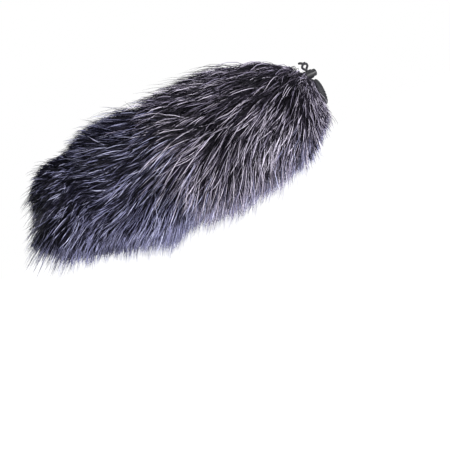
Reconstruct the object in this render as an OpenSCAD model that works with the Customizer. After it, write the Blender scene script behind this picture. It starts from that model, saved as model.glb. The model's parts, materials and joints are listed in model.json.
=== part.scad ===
// Furry windscreen for a shotgun microphone.
// A sleeve of long-pile fur covers a foam core. A gathered collar with an elastic
// drawcord and a sprung cord lock closes it round the microphone's tube.
// The origin is the centre of the mouth. +Y runs back along the microphone, the nose
// points to -Y, and +Z is up. All sizes are in millimetres.

/* [Microphone] */
// Diameter of the microphone's tube, and of the bore that takes it
mic_d = 22; // [20:0.5:24]
// Depth of the bore, from the mouth to the foam plug
bore_depth = 250; // [180:1:330]

/* [Foam core] */
// Outer diameter of the foam
foam_d = 64; // [60:1:72]
// Thickness of the foam plug in front of the bore
plug_t = 20; // [18:1:30]
// Rounding of the foam at the nose
nose_round = 14; // [10:1:16]
// Rounding of the foam behind the collar
shoulder_round = 20; // [14:1:20]

/* [Fur] */
// Diameter of the whole pile
pile_d = 133; // [124:1:138]
// How far the pile's own axis hangs below the microphone's
pile_drop = 4.5; // [0:0.5:6]
// How far the pile stands in front of the foam
pile_nose = 46; // [30:1:50]
// Radius of the curve from the collar up to the pile's full diameter
pile_shoulder = 96; // [90:1:110]
// Radius of the curve round the pile's nose
pile_round = 70; // [69:1:80]

/* [Collar] */
// Length of the collar band
collar_l = 19; // [17:0.5:21]
// Thickness of the gathered band
collar_t = 1.6; // [1.2:0.1:1.8]
// Distance from the mouth to the middle of the cord's channel
channel_at = 5; // [4.5:0.5:6]

/* [Drawcord] */
// Diameter of the elastic cord
cord_d = 2.2; // [2:0.1:2.4]

/* [Cord lock] */
// Outer diameter of the lock's barrel
lock_d = 8.6; // [8.4:0.1:9.2]
// How far the plunger is pressed in
press_travel = 2.2; // [1.6:0.1:2.4]
// How far the lock is shown slid up the cord
lock_slide = 0; // [0:0.5:5]

/* [Hidden] */
$fn = 96;

// Foam: its radius, its back and front faces, and the axis distance of the bore's end
mic_r = mic_d / 2;
foam_r = foam_d / 2;
foam_back = collar_l + 1;
foam_front = bore_depth + plug_t;

// Lining and fur backing lie on the foam, one round the other, with a little air between
lining_in = 0.1;
lining_out = 0.6;
fur_in = 0.8;
seam_at = foam_front - 4;
seam_gap = 0.2;
edge_gap = 0.3;

// Pile
pile_r = pile_d / 2;
pile_back = 7;
pile_front = foam_front + pile_nose;
pile_back_r = 24;
shoulder_at = pile_back + sqrt(pile_shoulder ^ 2 - (pile_shoulder - pile_r + pile_back_r) ^ 2);
nose_at = pile_front - sqrt(pile_round ^ 2 - (pile_round - pile_r) ^ 2);

// Space left in the pile for the cord lock, its travel and the cord's loop
pocket_w = 14;
pocket_l = 18.5;
pocket_h = 45;

// Collar: outer radius of the plain band, centre line of the cord's channel, its play and wall
band_r = mic_r + collar_t;
channel_play = 0.15;
channel_wall = 0.6;
channel_r = mic_r + channel_wall + channel_play + cord_d / 2;
channel_bore = cord_d / 2 + channel_play;
bulge_r = channel_bore + channel_wall;
collar_top = channel_r + bulge_r;

// Buttonhole at the top of the collar, and its oversewn edge
slot_half_w = 4.2;
slot_half_l = 1.4;
slot_edge = 0.9;
slot_lift = 0.5;

// Stitches
thread_r = 0.3;
stitch_l = 3.2;
stitch_pitch = 4;
collar_stitches = 24;
nose_stitches = 40;
front_row_at = 12.2;
rear_row_at = 8.6;
groove_half_w = 1;
groove_depth = 1.6;

// Drawcord: half of the angle at the top of the ring that the channel's part leaves open
cord_r = cord_d / 2;
cord_open = 20;
// Half of the loop's route, from the channel's end to the knot, as distances from the
// top of the ring's centre line. The other half mirrors it across, and lies to the nose.
rise = [
    [-4.4, 0, -0.8], [-3, 0, 0], [-1.8, 0, 1.5], [-1.2, 0, 3.6], [-1.2, 0, 7], [-1.2, 0, 10.6]
];
loop_back = [[-1.5, 1.4, 12.6], [-1.3, 3, 14.6], [-0.6, 2.6, 16.6]];
loop_top = [0, 0.4, 17.4];
loop_nose = [[0.7, -1.8, 16.6], [1.4, -3, 14.6], [1.5, -1.8, 12.6]];
steps_a_span = 3;

// Knot
knot_r = 1.2;
knot_wire = 1.05;
tail_l = 5;

// Cord lock: the plunger's axis runs along Y, just above the collar
lock_r = lock_d / 2;
lock_z = collar_top + 0.2 + lock_r;
lock_wall = 0.7;
lock_round = 1.8;
lock_bore = lock_r - lock_wall;
lock_mouth = channel_at - 3.8;
lock_floor = channel_at + 9.6;
lock_end = lock_floor + 1.4;
lock_slot_w = 2.7;
lock_slot_rear = channel_at - cord_r - 0.05;
lock_slot_front = channel_at + cord_r + 1.2;
window_rear = channel_at + 3.6;
window_front = channel_at + 7;
window_half = 0.8;

// Plunger: runs with clearance in the barrel, and nips the cords at rest
plunger_r = lock_bore - 0.1;
plunger_end = channel_at + 4.4;
plunger_head = 4.2;
plunger_round = 1.6;
nip = channel_at + cord_r + 0.03;
spigot_r = 1.2;
spigot_l = 1.5;
catch_out = lock_r - 0.2;
catch_half = 0.65;
catch_l = 0.7;

// Spring
wire_r = 0.25;
coil_r = 2.4;
coil_turns = 5;
coil_steps = 12;
wire_sides = 8;

// ---- Shared shapes ----

// Turns a section about the Y axis: its x is the radius, its y is the place along Y
module turned(angle = 360, start = 0) {
    rotate([-90, 0, 0]) rotate([0, 0, start]) rotate_extrude(angle = angle) children();
}

// Section of the foam's outer face, grown all round by some thickness
module core_section(grow) {
    r = foam_r + grow;
    nose = nose_round + grow;
    rear = shoulder_round + grow;
    front = foam_front + grow;
    back = foam_back - grow;
    intersection() {
        translate([0, -front]) square([r, front - back]);
        union() {
            translate([0, nose - front]) square([r, front - back - nose - rear]);
            translate([0, -front]) square([r - nose, nose + 1]);
            translate([r - nose, nose - front]) circle(nose);
            translate([0, -back - rear - 1]) square([r - rear, rear + 1]);
            translate([r - rear, -back - rear]) circle(rear);
        }
    }
}

// Part of a section that lies between two distances from the mouth
module between(from, to) {
    intersection() {
        translate([0, -to]) square([2 * pile_r, to - from]);
        children();
    }
}

// Section of the pile's outer face: a straight barrel between two curved ends
module pile_section() {
    intersection() {
        translate([0, -pile_front]) square([pile_r, pile_front - pile_back]);
        union() {
            translate([0, -nose_at]) square([pile_r, nose_at - shoulder_at]);
            translate([pile_r - pile_shoulder, -shoulder_at]) circle(pile_shoulder, $fn = 180);
            translate([pile_r - pile_round, -nose_at]) circle(pile_round, $fn = 180);
        }
    }
}

// Backing and pile together, between two distances from the mouth
module fur(from, to) {
    difference() {
        translate([0, 0, -pile_drop]) turned() between(from, to) pile_section();
        turned() union() {
            core_section(fur_in);
            translate([0, -foam_back - shoulder_round])
                square([band_r + 2 * thread_r + edge_gap, foam_back + shoulder_round]);
        }
        // groove for the stitches between the sleeve and the nose panel
        turned() translate([foam_r - 5, -seam_at - stitch_l / 2 - seam_gap])
            square([5, stitch_l + 2 * seam_gap]);
    }
}

// A ring of stitches on a cylinder about the Y axis
module stitch_ring(radius, at, count, fill) {
    for (i = [0:count - 1])
        turned(angle = fill * 360 / count, start = i * 360 / count)
            translate([radius, -at]) circle(thread_r, $fn = 16);
}

// ---- Swept cords ----

function unit(v) = v / norm(v);
function spline_point(a, b, c, d, t) =
    0.5 * (2 * b + (c - a) * t + (2 * a - 5 * b + 4 * c - d) * t ^ 2 + (3 * b - a - 3 * c + d) * t ^ 3);
function spline(p, n) = [
    for (i = [0:len(p) - 2], k = [0:n - 1])
        spline_point(p[max(i - 1, 0)], p[i], p[i + 1], p[min(i + 2, len(p) - 1)], k / n),
    p[len(p) - 1]
];
function tangent(p, i) = unit(p[min(i + 1, len(p) - 1)] - p[max(i - 1, 0)]);
function sideways(p, last, i = 0) =
    i == len(p) ? [] :
    let (t = tangent(p, i), s = unit(last - (last * t) * t)) concat([s], sideways(p, s, i + 1));

// A round tube of a given radius along the points p
module swept(p, radius, sides) {
    s = sideways(p, [0, 1, 0.001]);
    rings = [
        for (i = [0:len(p) - 1], k = [0:sides - 1])
            p[i] + radius * (cos(360 * k / sides) * s[i] + sin(360 * k / sides) * cross(tangent(p, i), s[i]))
    ];
    last = (len(p) - 1) * sides;
    walls = [
        for (i = [0:len(p) - 2], k = [0:sides - 1])
            let (a = i * sides + k, b = i * sides + (k + 1) % sides)
                [a, a + sides, b + sides, b]
    ];
    caps = [[for (k = [0:sides - 1]) k], [for (k = [0:sides - 1]) last + sides - 1 - k]];
    polyhedron(rings, concat(walls, caps), convexity = 8);
}

function turned_over(p) = [for (i = [len(p) - 1:-1:0]) [-p[i][0], p[i][1], p[i][2]]];
loop_route = concat(rise, loop_back, [loop_top], loop_nose, turned_over(rise));

// ---- Fur ----

module fur_sleeve() {
    color("#4b4952") difference() {
        fur(pile_back, seam_at);
        translate([-pocket_w / 2, -pocket_l, 0]) cube([pocket_w, pocket_l, pocket_h]);
        // groove for the long seam's stitches, along the underside
        translate([-groove_half_w, 2 * stitch_pitch - seam_at + nose_round, -foam_r - fur_in - groove_depth])
            cube([2 * groove_half_w, seam_at - foam_back - shoulder_round - nose_round - 2 * stitch_pitch,
                groove_depth + 1]);
    }
}

module fur_nose_panel() {
    color("#3b3942") fur(seam_at + seam_gap, pile_front);
}

module long_seam_thread() {
    from = foam_back + shoulder_round + stitch_pitch;
    count = floor((seam_at - nose_round - 3 * stitch_pitch - from) / stitch_pitch);
    color("#26252b") for (i = [0:count - 1])
        translate([0, -from - i * stitch_pitch, -foam_r - fur_in - thread_r - 0.2])
            rotate([90, 0, 0]) cylinder(h = stitch_l, r = thread_r, $fn = 16);
}

module nose_seam_thread() {
    color("#26252b") for (i = [0:nose_stitches - 1])
        rotate([0, i * 360 / nose_stitches, 0])
            translate([0, stitch_l / 2 - seam_at, foam_r - 0.6])
                rotate([90, 0, 0]) cylinder(h = stitch_l, r = thread_r, $fn = 16);
}

// ---- Lining ----

module lining(from, to) {
    turned() between(from, to) difference() {
        core_section(lining_out);
        core_section(lining_in);
        translate([0, -foam_back - 2]) square([mic_r + edge_gap, 4]);
    }
}

module lining_sleeve() {
    color("#2b2b30") lining(0, seam_at - 2);
}

module lining_nose_panel() {
    color("#2b2b30") lining(seam_at - 2 + seam_gap, pile_front);
}

// ---- Foam ----

module foam_core() {
    color("#3c3c40") difference() {
        turned() between(0, bore_depth) core_section(0);
        rotate([90, 0, 0]) cylinder(h = bore_depth + 1, r = mic_r);
    }
}

module foam_nose_plug() {
    color("#3c3c40") turned() between(bore_depth, pile_front) core_section(0);
}

// ---- Collar ----

module collar_section() {
    difference() {
        union() {
            translate([mic_r, -collar_l]) square([collar_t, collar_l]);
            translate([channel_r, -channel_at]) circle(bulge_r, $fn = 48);
        }
        translate([channel_r, -channel_at]) circle(channel_bore, $fn = 48);
    }
}

// Slot with round ends across the top of the collar, grown by an edge
module slot_prism(edge, from, to) {
    half_l = slot_half_l + edge;
    translate([0, -channel_at, from]) linear_extrude(to - from) {
        square([2 * slot_half_w - 2 * slot_half_l, 2 * half_l], center = true);
        for (x = [slot_half_l - slot_half_w, slot_half_w - slot_half_l])
            translate([x, 0]) circle(half_l, $fn = 32);
    }
}

module collar_band() {
    color("#1d1d22") difference() {
        turned() collar_section();
        slot_prism(0, channel_r - 0.6, collar_top + 1);
    }
}

module collar_thread_front() {
    color("#3a3a42") stitch_ring(band_r + thread_r, front_row_at, collar_stitches, 0.6);
}

module collar_thread_rear() {
    color("#3a3a42") stitch_ring(band_r + thread_r, rear_row_at, collar_stitches, 0.6);
}

module buttonhole_stitching() {
    color("#2c2c33") difference() {
        turned() translate([channel_r, -channel_at]) circle(bulge_r + slot_lift, $fn = 48);
        turned() translate([channel_r, -channel_at]) circle(bulge_r, $fn = 48);
        turned() translate([0, -collar_l]) square([band_r, collar_l + 1]);
        difference() {
            translate([-collar_top * 2, -collar_l, -collar_top * 2])
                cube([collar_top * 4, 2 * collar_l, collar_top * 4]);
            slot_prism(slot_edge, channel_r - 1, collar_top + 2);
        }
        slot_prism(0, channel_r - 2, collar_top + 3);
    }
}

// ---- Drawcord ----

module drawcord_channel() {
    color("#141417") turned(angle = 360 - 2 * cord_open, start = cord_open - 90)
        translate([channel_r, -channel_at]) circle(cord_r, $fn = 32);
}

module drawcord_loop() {
    color("#141417") translate([0, -channel_at, channel_r])
        swept(spline(loop_route, steps_a_span), cord_r, 8);
}

module drawcord_knot() {
    color("#141417") translate([0, -channel_at, channel_r]) translate(loop_top) {
        rotate([90, 0, 60]) rotate_extrude() translate([knot_r, 0]) circle(knot_wire, $fn = 24);
        for (side = [-1, 1])
            rotate([-60, 0, side * 28 + 180]) {
                cylinder(h = tail_l, r = knot_wire, $fn = 24);
                translate([0, 0, tail_l]) sphere(knot_wire, $fn = 24);
            }
    }
}

// ---- Cord lock ----

// Places the lock's pieces on the plunger's axis
module on_lock() {
    translate([0, 0, lock_z + lock_slide]) children();
}

module cord_lock_body() {
    color("#17171a") on_lock() difference() {
        turned() {
            translate([0, lock_round - lock_end]) square([lock_r, lock_end - lock_round - lock_mouth]);
            translate([0, -lock_end]) square([lock_r - lock_round, lock_round + 1]);
            translate([lock_r - lock_round, lock_round - lock_end]) circle(lock_round, $fn = 32);
        }
        turned() translate([0, -lock_floor]) square([lock_bore, lock_floor]);
        translate([-lock_slot_w, -lock_slot_front, -lock_d])
            cube([2 * lock_slot_w, lock_slot_front - lock_slot_rear, 2 * lock_d]);
        translate([-lock_d, -window_front, -window_half])
            cube([2 * lock_d, window_front - window_rear, 2 * window_half]);
    }
}

module cord_lock_plunger() {
    color("#202024") on_lock() difference() {
        union() {
            turned() {
                translate([0, -plunger_end])
                    square([plunger_r, plunger_end - lock_mouth + plunger_head - plunger_round]);
                translate([0, -lock_mouth]) square([plunger_r - plunger_round, plunger_head]);
                translate([plunger_r - plunger_round, plunger_head - plunger_round - lock_mouth])
                    circle(plunger_round, $fn = 32);
                translate([0, -plunger_end - spigot_l]) square([spigot_r, spigot_l + 1]);
            }
            // catches that stop it against the rear of the barrel's windows
            translate([-catch_out, -window_rear - catch_l - 0.05, -catch_half])
                cube([2 * catch_out, catch_l, 2 * catch_half]);
        }
        translate([-lock_slot_w, -nip, -lock_d])
            cube([2 * lock_slot_w, nip - lock_slot_rear + press_travel + 0.1, 2 * lock_d]);
    }
}

module cord_lock_spring() {
    from = lock_floor - wire_r - 0.05;
    pitch = (lock_floor - plunger_end - 2 * wire_r - 0.1) / coil_turns;
    last = coil_turns * coil_steps;
    color("#b9bcc2") on_lock() swept(
        [for (i = [0:last]) [
            coil_r * cos(360 * i / coil_steps), pitch * i / coil_steps - from, coil_r * sin(360 * i / coil_steps)
        ]],
        wire_r, wire_sides
    );
}

fur_sleeve();
fur_nose_panel();
long_seam_thread();
nose_seam_thread();
lining_sleeve();
lining_nose_panel();
foam_core();
foam_nose_plug();
collar_band();
collar_thread_front();
collar_thread_rear();
buttonhole_stitching();
drawcord_channel();
drawcord_loop();
drawcord_knot();
cord_lock_body();
cord_lock_plunger();
cord_lock_spring();
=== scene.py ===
"""Furry windscreen: the looks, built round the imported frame. All lengths are in metres."""

import json
import math

import bpy
import numpy as np
from mathutils import Matrix, Vector
from mathutils.kdtree import KDTree


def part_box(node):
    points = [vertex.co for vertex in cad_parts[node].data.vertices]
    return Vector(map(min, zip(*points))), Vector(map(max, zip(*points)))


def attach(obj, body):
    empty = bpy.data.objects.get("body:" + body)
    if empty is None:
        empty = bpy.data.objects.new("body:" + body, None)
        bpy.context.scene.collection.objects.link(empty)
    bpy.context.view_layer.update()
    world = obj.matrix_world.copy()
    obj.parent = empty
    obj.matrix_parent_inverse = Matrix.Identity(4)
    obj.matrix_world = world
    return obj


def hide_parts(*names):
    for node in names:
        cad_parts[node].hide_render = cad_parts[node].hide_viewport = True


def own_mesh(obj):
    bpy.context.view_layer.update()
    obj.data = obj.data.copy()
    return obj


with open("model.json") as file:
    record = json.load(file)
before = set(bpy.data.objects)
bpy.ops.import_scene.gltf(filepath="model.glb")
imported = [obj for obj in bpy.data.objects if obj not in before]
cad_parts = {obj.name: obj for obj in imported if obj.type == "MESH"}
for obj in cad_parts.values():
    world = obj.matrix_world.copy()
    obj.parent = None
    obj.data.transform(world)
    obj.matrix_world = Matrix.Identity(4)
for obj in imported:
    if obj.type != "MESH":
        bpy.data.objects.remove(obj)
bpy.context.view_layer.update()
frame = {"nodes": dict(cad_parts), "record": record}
SCENE = bpy.context.scene

# ---- Sizes, from the frame ----

MM = 0.001
BORE_R = frame["record"]["mounts"][0]["dims"]["r_mm"] * MM
FOAM_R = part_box("foam_core")[1].x
FOAM_BACK = -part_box("foam_core")[1].y
BORE_END = -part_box("foam_core")[0].y
FOAM_FRONT = -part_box("foam_nose_plug")[0].y
SEAM_AT = -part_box("fur_sleeve")[0].y
PILE_LOW, PILE_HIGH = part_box("fur_sleeve")
NOSE_ROUND = 14 * MM
SHOULDER_ROUND = 20 * MM

COLLAR_LENGTH = -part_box("collar_band")[0].y
COLLAR_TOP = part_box("collar_band")[1].x
BAND_R = BORE_R + 1.6 * MM
CORD_D = 2.2 * MM
CORD_R = CORD_D / 2
BRAID_STRANDS = 4
BRAID_PITCH = 1.1 * MM
CHANNEL_AT = 5 * MM
CHANNEL_R = BORE_R + 0.75 * MM + CORD_R
CHANNEL_BORE = CORD_R + 0.15 * MM
BULGE_R = COLLAR_TOP - CHANNEL_R
CORD_OPEN = math.radians(20)

# How the photographed windscreen is held: nose down by this much
PITCH = math.radians(24.7)
GRAVITY = np.array([0, -math.sin(PITCH), -math.cos(PITCH)])
NOSE_WARD = np.array([0, -1.0, 0])


def ease(x, start, end):
    t = np.clip((x - start) / (end - start), 0, 1)
    return t * t * (3 - 2 * t)


def unit(v):
    return v / np.maximum(np.linalg.norm(v, axis=-1, keepdims=True), 1e-12)


# ---- Camera ----

CAMERA_AZIMUTH = math.radians(79.5)
CAMERA_DISTANCE = 1.58
CAMERA_LENS = 135
# The mouth stands this far to the right of the picture's centre, and this far above it
MOUTH_RIGHT = 0.0903
MOUTH_ABOVE = 0.1249


def add_camera():
    """A camera that is level in the room where the windscreen hangs nose down."""
    elevation = math.atan(math.cos(CAMERA_AZIMUTH) * math.tan(PITCH))
    back = Vector((
        math.sin(CAMERA_AZIMUTH) * math.cos(elevation),
        -math.cos(CAMERA_AZIMUTH) * math.cos(elevation),
        math.sin(elevation),
    ))
    up = Vector(-GRAVITY)
    right = up.cross(back).normalized()
    aim = -right * MOUTH_RIGHT - up * MOUTH_ABOVE
    camera = bpy.data.objects.new("camera", bpy.data.cameras.new("camera"))
    camera.data.lens = CAMERA_LENS
    camera.data.clip_end = 50
    turn = Matrix((right, up, back)).transposed().to_4x4()
    camera.matrix_world = Matrix.Translation(aim + back * CAMERA_DISTANCE) @ turn
    SCENE.collection.objects.link(camera)
    SCENE.camera = camera


add_camera()

# ---- Mesh helpers ----


def new_piece(name, shape, material, slot, node, body="windscreen"):
    """One piece in place of a CAD node. shape is a mesh, or its points, faces and UVs."""
    mesh = mesh_of(name, *shape) if isinstance(shape, tuple) else shape
    piece = bpy.data.objects.new(name, mesh)
    SCENE.collection.objects.link(piece)
    mesh.materials.append(material)
    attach(piece, body)
    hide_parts(node)
    return piece


def mesh_of(name, points, faces, uv=None):
    """A smooth mesh. uv has one pair for each point of each face, in order."""
    mesh = bpy.data.meshes.new(name)
    mesh.from_pydata([tuple(p) for p in points], [], [tuple(f) for f in faces])
    if uv is not None:
        mesh.uv_layers.new(name="Weave").uv.foreach_set("vector", np.asarray(uv, np.float32).ravel())
    mesh.shade_smooth()
    mesh.update()
    return mesh


def tangents(path, closed=False):
    if closed:
        return unit(np.roll(path, -1, 0) - np.roll(path, 1, 0))
    return unit(np.gradient(path, axis=0))


def sides_along(path, closed=False):
    """A direction across the path at each point, carried along it without twisting."""
    t = tangents(path, closed)
    first = np.eye(3)[np.argmin(abs(t[0]))]
    s = [unit(first - t[0] * (first @ t[0]))]
    for i in range(1, len(path)):
        s.append(unit(s[-1] - t[i] * (s[-1] @ t[i])))
    return t, np.array(s)


def tube(path, radius, sides=12, relief=None, closed=False, ends=0.0):
    """Points, faces and UVs of a round tube. relief(angle, length) scales its radius.
    ends rounds each end over that length."""
    path = np.asarray(path, float)
    t, s = sides_along(path, closed)
    b = np.cross(t, s)
    steps = np.linalg.norm(np.diff(path, axis=0), axis=1)
    along = np.concatenate([[0], np.cumsum(steps)])
    angle = np.arange(sides) * 2 * math.pi / sides
    r = np.full((len(path), sides), float(radius))
    if relief is not None:
        r = r * relief(angle[None, :], along[:, None])
    if ends and not closed:
        near = np.minimum(along, along[-1] - along) / ends
        r = r * np.sqrt(np.clip(1 - (1 - np.clip(near, 0, 1)) ** 2, 0.05, 1))[:, None]
    ring = np.cos(angle)[None, :, None] * s[:, None] + np.sin(angle)[None, :, None] * b[:, None]
    points = (path[:, None] + r[:, :, None] * ring).reshape(-1, 3)
    faces, uv = [], []
    rings, around = len(path), 2 * math.pi * radius / MM
    for i in range(rings if closed else rings - 1):
        j = (i + 1) % rings
        for k in range(sides):
            m = (k + 1) % sides
            faces.append((i * sides + k, i * sides + m, j * sides + m, j * sides + k))
            low, high = along[i] / MM, (along[i] + (steps[i] if i < rings - 1 else 0)) / MM
            u, v = around * k / sides, around * (k + 1) / sides
            uv += [(u, low), (v, low), (v, high), (u, high)]
    if not closed:
        faces.append(tuple(range(sides - 1, -1, -1)))
        faces.append(tuple((rings - 1) * sides + k for k in range(sides)))
        uv += [(0.5, 0)] * sides + [(0.5, along[-1] / MM)] * sides
    return points, faces, uv


def facing(points, faces, uv, inward):
    """The same mesh with all faces turned out of the solid, or into it for a hollow."""
    points = np.asarray(points, float)
    corners = np.array([(f[0], f[i], f[i + 1]) for f in faces for i in range(1, len(f) - 1)])
    a, b, c = (points[corners[:, i]] for i in range(3))
    if (np.sum(a * np.cross(b, c)) < 0) == inward:
        return points, faces, uv
    turned_uv, at = [], 0
    for f in faces:
        turned_uv += uv[at:at + len(f)][::-1]
        at += len(f)
    return points, [f[::-1] for f in faces], turned_uv


def revolved(section, around, relief=None, closed=False, inward=False):
    """Points, faces and UVs of a section turned round the bore's axis. section has rows of distance
    from the mouth and radius. relief(angle, row) is added to the radius. A radius of 0 makes a pole."""
    section = np.asarray(section, float)
    angle = np.arange(around) * 2 * math.pi / around
    steps = np.linalg.norm(np.diff(np.concatenate([section, section[:1]]), axis=0), axis=1)
    along = np.concatenate([[0], np.cumsum(steps)]) / MM
    girth = 2 * math.pi * section[:, 1].max() / MM
    points, rows = [], []
    for i, (a, r) in enumerate(section):
        if r < 1e-7:
            rows.append([len(points)] * around)
            points.append((0, -a, 0))
            continue
        radius = r + (relief(angle, i) if relief is not None else 0 * angle)
        rows.append(list(range(len(points), len(points) + around)))
        points += [(q * math.cos(f), -a, q * math.sin(f)) for q, f in zip(radius, angle)]
    faces, uv = [], []
    for i in range(len(section) if closed else len(section) - 1):
        low, high = rows[i], rows[(i + 1) % len(section)]
        for k in range(around):
            m = (k + 1) % around
            corners = [(low[k], k, i), (high[k], k, i + 1), (high[m], k + 1, i + 1), (low[m], k + 1, i)]
            if low[k] == low[m]:
                corners = corners[:3]
            elif high[k] == high[m]:
                corners = [corners[0], corners[1], corners[3]]
            faces.append(tuple(c[0] for c in corners))
            uv += [(girth * c[1] / around, along[c[2]]) for c in corners]
    return facing(points, faces, uv, inward)


def shell(outer, inner):
    """The closed section of a thin wall between two lines. A wall that reaches the axis stays open there."""
    return np.concatenate([np.asarray(outer)[::-1], np.asarray(inner)])


def joined(parts):
    """Several sets of points, faces and UVs as one."""
    points, faces, uv, start = [], [], [], 0
    for p, f, w in parts:
        points.append(np.asarray(p))
        faces += [tuple(start + i for i in face) for face in f]
        uv += list(w)
        start += len(p)
    return np.concatenate(points), faces, uv


def spline(points, steps):
    """A smooth line through the points, with that many steps between two of them."""
    p = np.asarray(points, float)
    before = p[np.maximum(np.arange(len(p) - 1) - 1, 0)]
    after = p[np.minimum(np.arange(len(p) - 1) + 2, len(p) - 1)]
    t = (np.arange(steps) / steps)[None, :, None]
    a, b, c, d = before[:, None], p[:-1, None], p[1:, None], after[:, None]
    line = 0.5 * (2 * b + (c - a) * t + (2 * a - 5 * b + 4 * c - d) * t**2 + (3 * b - a - 3 * c + d) * t**3)
    return np.concatenate([line.reshape(-1, 3), p[-1:]])


# ---- Material helpers ----


class Nodes:
    """Short names for building one material's nodes."""

    def __init__(self, name):
        self.material = bpy.data.materials.new(name)
        self.material.use_nodes = True
        self.tree = self.material.node_tree
        self.tree.nodes.clear()
        self.shader = self.add("ShaderNodeBsdfPrincipled")
        out = self.add("ShaderNodeOutputMaterial")
        self.link(self.shader.outputs[0], out.inputs["Surface"])

    def add(self, kind, **values):
        node = self.tree.nodes.new(kind)
        for key, value in values.items():
            if hasattr(node, key) and key not in node.inputs:
                setattr(node, key, value)
            else:
                node.inputs[key].default_value = value
        return node

    def link(self, a, b):
        self.tree.links.new(a, b)

    def math(self, operation, *values):
        node = self.add("ShaderNodeMath", operation=operation)
        for value, socket in zip(values, node.inputs):
            if isinstance(value, (int, float)):
                socket.default_value = value
            else:
                self.link(value, socket)
        return node.outputs[0]

    def blend(self, a, share_a, b, share_b):
        """The sum of two values, each times its share."""
        return self.math("ADD", self.math("MULTIPLY", a, share_a), self.math("MULTIPLY", b, share_b))

    def ramp(self, factor, stops):
        node = self.add("ShaderNodeValToRGB")
        elements = node.color_ramp.elements
        while len(elements) < len(stops):
            elements.new(0.5)
        for element, (at, colour) in zip(elements, sorted(stops)):
            element.position = at
            element.color = (*colour, 1)
        self.link(factor, node.inputs[0])
        return node.outputs[0]

    def spread(self, value, start, end, low, high):
        """The value's run from start to end as one from low to high."""
        node = self.add("ShaderNodeMapRange")
        for socket, number in (("From Min", start), ("From Max", end), ("To Min", low), ("To Max", high)):
            node.inputs[socket].default_value = number
        self.link(value, node.inputs["Value"])
        return node.outputs[0]

    def noise(self, vector, scale, detail):
        node = self.add("ShaderNodeTexNoise", Scale=scale, Detail=detail, Roughness=0.55)
        self.link(vector, node.inputs["Vector"])
        return node.outputs["Fac"]

    def place(self):
        """The point's place in the row frame, in metres."""
        return self.add("ShaderNodeTexCoord").outputs["Object"]

    def uv(self, layer):
        return self.add("ShaderNodeUVMap", uv_map=layer).outputs[0]

    def uv_sides(self, layer):
        """The UV map's two numbers on their own. Those of the Weave map are millimetres."""
        split = self.add("ShaderNodeSeparateXYZ")
        self.link(self.uv(layer), split.inputs[0])
        return split.outputs[0], split.outputs[1]

    def feed(self, socket, value):
        self.link(value, self.shader.inputs[socket])

    def set(self, **values):
        for key, value in values.items():
            self.shader.inputs[key.replace("_", " ")].default_value = value

    def finish(self, height, strength, depth, specular):
        """The material, with a bump of that depth in millimetres."""
        bump = self.add("ShaderNodeBump", Strength=strength, Distance=depth * MM)
        self.link(height, bump.inputs["Height"])
        self.feed("Normal", bump.outputs[0])
        self.set(Specular_IOR_Level=specular)
        return self.material


# Noise hardly leaves this run, so a colour or a roughness is spread over it
NOISE_LOW, NOISE_HIGH = 0.25, 0.75


def coloured(n, factor, dark, light):
    """Base colour that runs from dark to light."""
    n.feed("Base Color", n.ramp(factor, [(NOISE_LOW, dark), (NOISE_HIGH, light)]))


def rough_by(n, factor, low, high):
    n.feed("Roughness", n.spread(factor, NOISE_LOW, NOISE_HIGH, low, high))


def cloth_material(name, dark, light, pitch, depth=0.12):
    """Woven cloth: threads over and under each other, with lint in it, and painted shade where the threads dip.
    Pitch and depth are in millimetres.
    """
    n = Nodes(name)
    u, v = (n.math("SINE", n.math("MULTIPLY", side, 2 * math.pi / pitch)) for side in n.uv_sides("Weave"))
    weave = n.math("MULTIPLY_ADD", n.math("MULTIPLY", u, v), 0.5, 0.5)
    lint = n.noise(n.place(), 900, 3)
    worn = n.noise(n.place(), 120, 4)
    # the colour is painted shade where the weave dips, mixed with real worn patches
    coloured(n, n.blend(weave, 0.45, worn, 0.55), dark, light)
    rough_by(n, worn, 0.7, 0.95)
    return n.finish(n.math("ADD", weave, n.math("MULTIPLY", lint, 0.5)), 0.6, depth, 0.15)


def foam_material():
    """Open-cell foam: small cells of two sizes, with painted shade in their hollows."""
    n = Nodes("foam_cells")
    fine = n.add("ShaderNodeTexVoronoi", Scale=1400)
    coarse = n.add("ShaderNodeTexVoronoi", Scale=600)
    for node in (fine, coarse):
        n.link(n.place(), node.inputs["Vector"])
    height = n.math("ADD", fine.outputs["Distance"], n.math("MULTIPLY", coarse.outputs["Distance"], 0.6))
    patches = n.noise(n.place(), 60, 4)
    # the colour is painted shade in the cells' hollows, mixed with patches of the foam's own tone
    coloured(n, n.blend(height, 0.5, patches, 0.5), (0.012, 0.012, 0.014), (0.06, 0.06, 0.066))
    rough_by(n, patches, 0.85, 1.0)
    return n.finish(height, 0.9, 0.5, 0.2)


def thread_material(name, dark, light, pitch=0.9):
    """Twisted thread: slanting plies with a soft gloss, and painted shade in the grooves between them."""
    n = Nodes(name)
    around, along = n.uv_sides("Weave")
    slant = n.math("ADD", n.math("MULTIPLY", around, 2 / 0.6), n.math("DIVIDE", along, pitch))
    plies = n.math("MULTIPLY_ADD", n.math("SINE", n.math("MULTIPLY", slant, math.pi)), 0.5, 0.5)
    fuzz = n.noise(n.place(), 2500, 3)
    mixed = n.blend(plies, 0.6, fuzz, 0.4)
    # the colour is painted shade in the grooves between the plies, mixed with fuzz
    coloured(n, mixed, dark, light)
    rough_by(n, fuzz, 0.45, 0.7)
    return n.finish(mixed, 0.5, 0.08, 0.3)


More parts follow.
